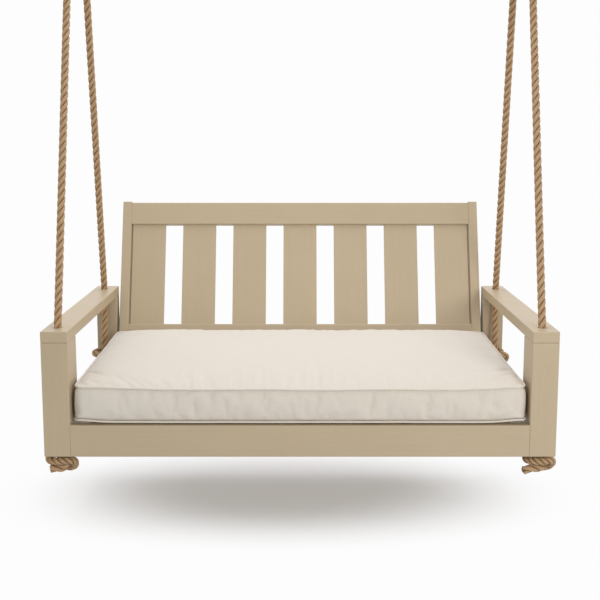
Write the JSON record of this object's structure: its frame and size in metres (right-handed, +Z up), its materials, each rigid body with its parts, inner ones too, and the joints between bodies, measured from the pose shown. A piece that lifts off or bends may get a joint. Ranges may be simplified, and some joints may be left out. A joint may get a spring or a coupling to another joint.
{
  "type": "hanging swing bed",
  "caption": "Hanging swing bed: a painted wooden daybed frame with flat arms and a slatted leaning back, a piped seat cushion, hung on knotted ropes from steel ceiling brackets.",
  "frame": {"origin": "on the ceiling, halfway between the two brackets and straight above the two hanging bolts", "axes": "+X along the bed's width, to the right as seen from the front; +Y from the open front to the back; +Z up"},
  "size_m": [1.77, 1.2518, 1.8935],
  "materials": {
    "painted_wood": "satin taupe paint",
    "manila_rope": "three-strand twisted natural fibre",
    "zinc_steel": "zinc plated, satin",
    "cushion_canvas": "matt woven canvas with piping"
  },
  "bodies": {
    "ceiling": {"hanger_bracket_left": "zinc_steel", "hanger_bracket_right": "zinc_steel", "hanging_bolt_left": "zinc_steel", "hanging_bolt_right": "zinc_steel", "eye_spacers": "zinc_steel"},
    "swing": {"rope_thimbles": "zinc_steel", "rope_front_left": "manila_rope", "rope_front_right": "manila_rope", "rope_rear_left": "manila_rope", "rope_rear_right": "manila_rope", "knot_front_left": "manila_rope", "knot_front_right": "manila_rope", "upper_knot_rear_left": "manila_rope", "upper_knot_rear_right": "manila_rope", "lower_knot_rear_left": "manila_rope", "lower_knot_rear_right": "manila_rope", "front_post_left": "painted_wood", "arm_cap_left": "painted_wood", "side_rail_left": "painted_wood", "rear_post_inner_left": "painted_wood", "rear_post_outer_left": "painted_wood", "front_post_right": "painted_wood", "arm_cap_right": "painted_wood", "side_rail_right": "painted_wood", "rear_post_inner_right": "painted_wood", "rear_post_outer_right": "painted_wood", "front_rail": "painted_wood", "rear_rail": "painted_wood", "centre_rail": "painted_wood", "front_cleat": "painted_wood", "rear_cleat": "painted_wood", "deck_slat_1": "painted_wood", "deck_slat_2": "painted_wood", "deck_slat_3": "painted_wood", "deck_slat_4": "painted_wood", "deck_slat_5": "painted_wood", "deck_slat_6": "painted_wood", "deck_slat_7": "painted_wood", "deck_slat_8": "painted_wood", "deck_slat_9": "painted_wood", "deck_slat_10": "painted_wood", "back_stile_left": "painted_wood", "back_stile_right": "painted_wood", "back_top_rail": "painted_wood", "back_bottom_rail": "painted_wood", "back_slat_1": "painted_wood", "back_slat_2": "painted_wood", "back_slat_3": "painted_wood", "back_slat_4": "painted_wood", "back_slat_5": "painted_wood", "back_slat_6": "painted_wood", "back_slat_7": "painted_wood", "back_bolts": "zinc_steel", "back_spacers": "zinc_steel"},
    "cushion": {"seat_cushion": "cushion_canvas"}
  },
  "joints": [
    {"name": "swing_on_bolts", "type": "hinge", "parent": "ceiling", "child": "swing", "pos_m": [0, 0, -0.06], "axis": [1, 0, 0], "range_deg": [-15, 15]},
    {"name": "cushion_lift", "type": "slide", "parent": "swing", "child": "cushion", "axis": [0, 0, 1], "range_m": [0, 0.25]}
  ]
}
